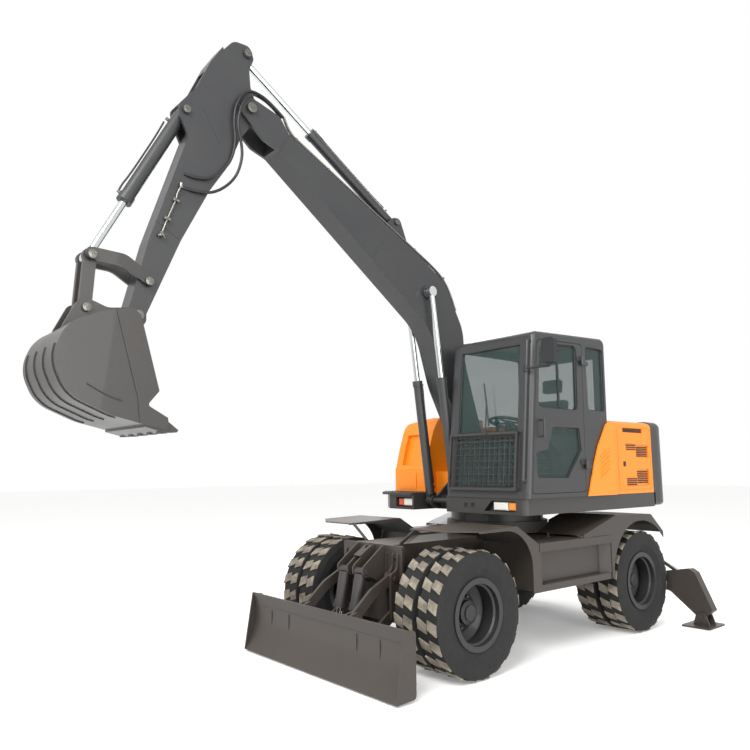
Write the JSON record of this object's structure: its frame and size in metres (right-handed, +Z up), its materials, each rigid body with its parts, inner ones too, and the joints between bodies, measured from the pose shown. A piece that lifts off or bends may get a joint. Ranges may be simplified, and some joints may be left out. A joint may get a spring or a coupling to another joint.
{
  "type": "wheeled excavator",
  "caption": "Wheeled excavator with twin tyres, offset boom, arm and bucket on hydraulic cylinders, glazed cab, front blade and rear stabilisers.",
  "frame": {"origin": "on the ground below the middle of the machine's overall box", "axes": "+X forward, towards the blade and the bucket; +Y to the machine's left, the cab's side; +Z up"},
  "size_m": [6.5207, 2.91, 5.3164],
  "materials": {
    "dark_paint": "worn semi-matt paint",
    "orange_paint": "semi-gloss paint",
    "wheel_paint": "semi-gloss paint",
    "tyre": "dusty",
    "chrome": "bright hard chrome",
    "black_plastic": "matt",
    "seat_fabric": "woven",
    "glass": "clear, slightly green",
    "lamp_lens": "clear"
  },
  "bodies": {
    "chassis": {"chassis_frame": "dark_paint", "fenders": "dark_paint", "side_lockers": "dark_paint", "front_axle": "dark_paint", "rear_axle": "dark_paint", "drive_line": "dark_paint", "slew_ring": "dark_paint"},
    "superstructure": {"deck": "dark_paint", "counterweight": "dark_paint", "engine_hood": "orange_paint", "engine": "dark_paint", "side_panel": "orange_paint", "tank_housing": "orange_paint", "step_deck": "dark_paint", "cab_shell": "dark_paint", "cab_glass": "glass", "mesh_guard": "dark_paint", "cab_mirror": "black_plastic", "seat": "seat_fabric", "consoles": "black_plastic", "steering_column": "black_plastic", "lamps": "lamp_lens"},
    "cab_door": {"cab_door": "dark_paint", "door_glass": "glass"},
    "tie_rod": {"tie_rod": "dark_paint"},
    "blade": {"blade": "dark_paint"},
    "blade_upper_arms": {"blade_upper_arms": "dark_paint"},
    "blade_lower_arms": {"blade_lower_arms": "dark_paint"},
    "blade_barrels": {"blade_barrels": "dark_paint"},
    "blade_rods": {"blade_rods": "chrome"},
    "boom": {"boom": "dark_paint"},
    "boom_barrels": {"boom_barrels": "dark_paint"},
    "boom_rods": {"boom_rods": "chrome"},
    "arm": {"arm": "dark_paint"},
    "arm_barrel": {"arm_barrel": "dark_paint"},
    "arm_rod": {"arm_rod": "chrome"},
    "bucket": {"bucket": "dark_paint"},
    "rockers": {"rockers": "dark_paint"},
    "bucket_link": {"bucket_link": "dark_paint"},
    "bucket_barrel": {"bucket_barrel": "dark_paint"},
    "bucket_rod": {"bucket_rod": "chrome"},
    "knuckle_left": {"front_knuckle_left": "dark_paint"},
    "front_wheels_left": {"front_tyres_left": "tyre", "front_rims_left": "wheel_paint"},
    "rear_wheels_left": {"rear_tyres_left": "tyre", "rear_rims_left": "wheel_paint"},
    "stabiliser_leg_left": {"stabiliser_leg_left": "dark_paint"},
    "stabiliser_foot_left": {"stabiliser_foot_left": "dark_paint"},
    "stabiliser_barrel_left": {"stabiliser_barrel_left": "dark_paint"},
    "stabiliser_rod_left": {"stabiliser_rod_left": "chrome"},
    "knuckle_right": {"front_knuckle_right": "dark_paint"},
    "front_wheels_right": {"front_tyres_right": "tyre", "front_rims_right": "wheel_paint"},
    "rear_wheels_right": {"rear_tyres_right": "tyre", "rear_rims_right": "wheel_paint"},
    "stabiliser_leg_right": {"stabiliser_leg_right": "dark_paint"},
    "stabiliser_foot_right": {"stabiliser_foot_right": "dark_paint"},
    "stabiliser_barrel_right": {"stabiliser_barrel_right": "dark_paint"},
    "stabiliser_rod_right": {"stabiliser_rod_right": "chrome"}
  },
  "joints": [
    {"name": "steering_left", "type": "hinge", "parent": "chassis", "child": "knuckle_left", "pos_m": [0.175, 0.5, 0.509], "axis": [0, 0, 1], "range_deg": [-25, 25]},
    {"name": "steering_right", "type": "hinge", "parent": "chassis", "child": "knuckle_right", "pos_m": [0.175, -0.5, 0.509], "axis": [0, 0, 1], "range_deg": [-25.5, 25.5]},
    {"name": "tie_rod_pivot", "type": "hinge", "parent": "knuckle_left", "child": "tie_rod", "pos_m": [-0.065, 0.5, 0.419], "axis": [0, 0, 1], "range_deg": [-25.5, 25.5]},
    {"name": "front_wheels_left_spin", "type": "hinge", "parent": "knuckle_left", "child": "front_wheels_left", "pos_m": [0.175, 0.8095, 0.509], "axis": [0, 1, 0], "continuous": true},
    {"name": "rear_wheels_left_spin", "type": "hinge", "parent": "chassis", "child": "rear_wheels_left", "pos_m": [-2.354, 0.8095, 0.509], "axis": [0, 1, 0], "continuous": true},
    {"name": "front_wheels_right_spin", "type": "hinge", "parent": "knuckle_right", "child": "front_wheels_right", "pos_m": [0.175, -0.8095, 0.509], "axis": [0, 1, 0], "continuous": true},
    {"name": "rear_wheels_right_spin", "type": "hinge", "parent": "chassis", "child": "rear_wheels_right", "pos_m": [-2.354, -0.8095, 0.509], "axis": [0, 1, 0], "continuous": true},
    {"name": "slew", "type": "hinge", "parent": "chassis", "child": "superstructure", "pos_m": [-1.315, 0, 1.236], "axis": [0, 0, 1], "continuous": true},
    {"name": "cab_door_hinge", "type": "hinge", "parent": "superstructure", "child": "cab_door", "pos_m": [-1.337, 1.112, 2.2], "axis": [0, 0, 1], "range_deg": [0, 85]},
    {"name": "boom_lift", "type": "hinge", "parent": "superstructure", "child": "boom", "pos_m": [-1.175, -0.15, 1.6], "axis": [0, -1, 0], "range_deg": [-70, 10]},
    {"name": "boom_barrels_swing", "type": "hinge", "parent": "superstructure", "child": "boom_barrels", "pos_m": [-0.66, -0.15, 1.345], "axis": [0, -1, 0], "range_deg": [-74.72, 11.1]},
    {"name": "boom_rods_slide", "type": "slide", "parent": "boom_barrels", "child": "boom_rods", "axis": [0.1374, 0, 0.9905], "range_m": [-0.64306, 0.09358]},
    {"name": "arm_swing", "type": "hinge", "parent": "boom", "child": "arm", "pos_m": [1.715, -0.15, 4.734], "axis": [0, 1, 0], "range_deg": [-65, 35]},
    {"name": "arm_barrel_swing", "type": "hinge", "parent": "boom", "child": "arm_barrel", "pos_m": [0.015, -0.15, 4.127], "axis": [0, -1, 0], "range_deg": [-3.84, 6.7]},
    {"name": "arm_rod_slide", "type": "slide", "parent": "arm_barrel", "child": "arm_rod", "axis": [0.8405, 0, 0.5419], "range_m": [-0.4982, 0.26919]},
    {"name": "bucket_swing", "type": "hinge", "parent": "arm", "child": "bucket", "pos_m": [2.617, -0.15, 2.802], "axis": [0, 1, 0], "range_deg": [-50, 90]},
    {"name": "rocker_swing", "type": "hinge", "parent": "arm", "child": "rockers", "pos_m": [2.547, -0.15, 3.069], "axis": [0, -1, 0], "range_deg": [-71.51, 39.95]},
    {"name": "bucket_link_swing", "type": "hinge", "parent": "bucket", "child": "bucket_link", "pos_m": [2.988, -0.15, 2.806], "axis": [0, -1, 0], "range_deg": [-31.95, 57.11]},
    {"name": "bucket_barrel_swing", "type": "hinge", "parent": "arm", "child": "bucket_barrel", "pos_m": [2.285, -0.15, 4.539], "axis": [0, -1, 0], "range_deg": [-6.29, 3.71]},
    {"name": "bucket_rod_slide", "type": "slide", "parent": "bucket_barrel", "child": "bucket_rod", "axis": [0.453, 0, -0.8915], "range_m": [-0.26778, 0.4804]},
    {"name": "blade_lift", "type": "hinge", "parent": "chassis", "child": "blade_lower_arms", "pos_m": [0.477, 0, 0.44], "axis": [0, -1, 0], "range_deg": [-15, 38]},
    {"name": "blade_upper_swing", "type": "hinge", "parent": "chassis", "child": "blade_upper_arms", "pos_m": [0.477, 0, 0.742], "axis": [0, -1, 0], "range_deg": [-15.5, 38.5]},
    {"name": "blade_level", "type": "hinge", "parent": "blade_lower_arms", "child": "blade", "pos_m": [0.873, 0, 0.178], "axis": [0, -1, 0], "range_deg": [-38.5, 15.5]},
    {"name": "blade_barrels_swing", "type": "hinge", "parent": "chassis", "child": "blade_barrels", "pos_m": [0.635, 0, 0.795], "axis": [0, -1, 0], "range_deg": [-6.56, 15.85]},
    {"name": "blade_rods_slide", "type": "slide", "parent": "blade_barrels", "child": "blade_rods", "axis": [0.2025, 0, -0.9793], "range_m": [-0.16792, 0.06749]},
    {"name": "stabiliser_lift_left", "type": "hinge", "parent": "chassis", "child": "stabiliser_leg_left", "pos_m": [-3.07, 0.7, 0.43], "axis": [1, 0, 0], "range_deg": [0, 45]},
    {"name": "stabiliser_foot_left_tilt", "type": "hinge", "parent": "stabiliser_leg_left", "child": "stabiliser_foot_left", "pos_m": [-3.07, 1.321, 0.105], "axis": [1, 0, 0], "range_deg": [-15, 15]},
    {"name": "stabiliser_barrel_left_swing", "type": "hinge", "parent": "chassis", "child": "stabiliser_barrel_left", "pos_m": [-3.07, 0.56, 0.8], "axis": [1, 0, 0], "range_deg": [-0.5, 25.53]},
    {"name": "stabiliser_rod_left_slide", "type": "slide", "parent": "stabiliser_barrel_left", "child": "stabiliser_rod_left", "axis": [0, 0.8894, -0.4572], "range_m": [-0.24627, 0.002]},
    {"name": "stabiliser_lift_right", "type": "hinge", "parent": "chassis", "child": "stabiliser_leg_right", "pos_m": [-3.07, -0.7, 0.43], "axis": [-1, 0, 0], "range_deg": [0, 45]},
    {"name": "stabiliser_foot_right_tilt", "type": "hinge", "parent": "stabiliser_leg_right", "child": "stabiliser_foot_right", "pos_m": [-3.07, -1.321, 0.105], "axis": [-1, 0, 0], "range_deg": [-15, 15]},
    {"name": "stabiliser_barrel_right_swing", "type": "hinge", "parent": "chassis", "child": "stabiliser_barrel_right", "pos_m": [-3.07, -0.56, 0.8], "axis": [-1, 0, 0], "range_deg": [-0.5, 25.53]},
    {"name": "stabiliser_rod_right_slide", "type": "slide", "parent": "stabiliser_barrel_right", "child": "stabiliser_rod_right", "axis": [0, -0.8894, -0.4572], "range_m": [-0.24627, 0.002]}
  ],
  "couplings": [
    {"joint": "steering_right", "follows": "steering_left", "ratio": 1},
    {"joint": "tie_rod_pivot", "follows": "steering_left", "ratio": -1},
    {"joint": "boom_barrels_swing", "follows": "boom_lift", "ratio": 1.0602},
    {"joint": "boom_rods_slide", "follows": "boom_lift", "m_per_rad": 0.52471},
    {"joint": "arm_barrel_swing", "follows": "arm_swing", "ratio": -0.095369},
    {"joint": "arm_rod_slide", "follows": "arm_swing", "m_per_rad": 0.43739},
    {"joint": "rocker_swing", "follows": "bucket_swing", "ratio": -0.789},
    {"joint": "bucket_link_swing", "follows": "bucket_swing", "ratio": 0.629},
    {"joint": "bucket_barrel_swing", "follows": "bucket_swing", "ratio": -0.064283},
    {"joint": "bucket_rod_slide", "follows": "bucket_swing", "m_per_rad": 0.30456},
    {"joint": "blade_upper_swing", "follows": "blade_lift", "ratio": 1},
    {"joint": "blade_level", "follows": "blade_lift", "ratio": -1},
    {"joint": "blade_barrels_swing", "follows": "blade_lift", "ratio": 0.40388},
    {"joint": "blade_rods_slide", "follows": "blade_lift", "m_per_rad": -0.25017},
    {"joint": "stabiliser_barrel_left_swing", "follows": "stabiliser_lift_left", "ratio": 0.55627},
    {"joint": "stabiliser_rod_left_slide", "follows": "stabiliser_lift_left", "m_per_rad": -0.31101},
    {"joint": "stabiliser_barrel_right_swing", "follows": "stabiliser_lift_right", "ratio": 0.55627},
    {"joint": "stabiliser_rod_right_slide", "follows": "stabiliser_lift_right", "m_per_rad": -0.31101}
  ]
}
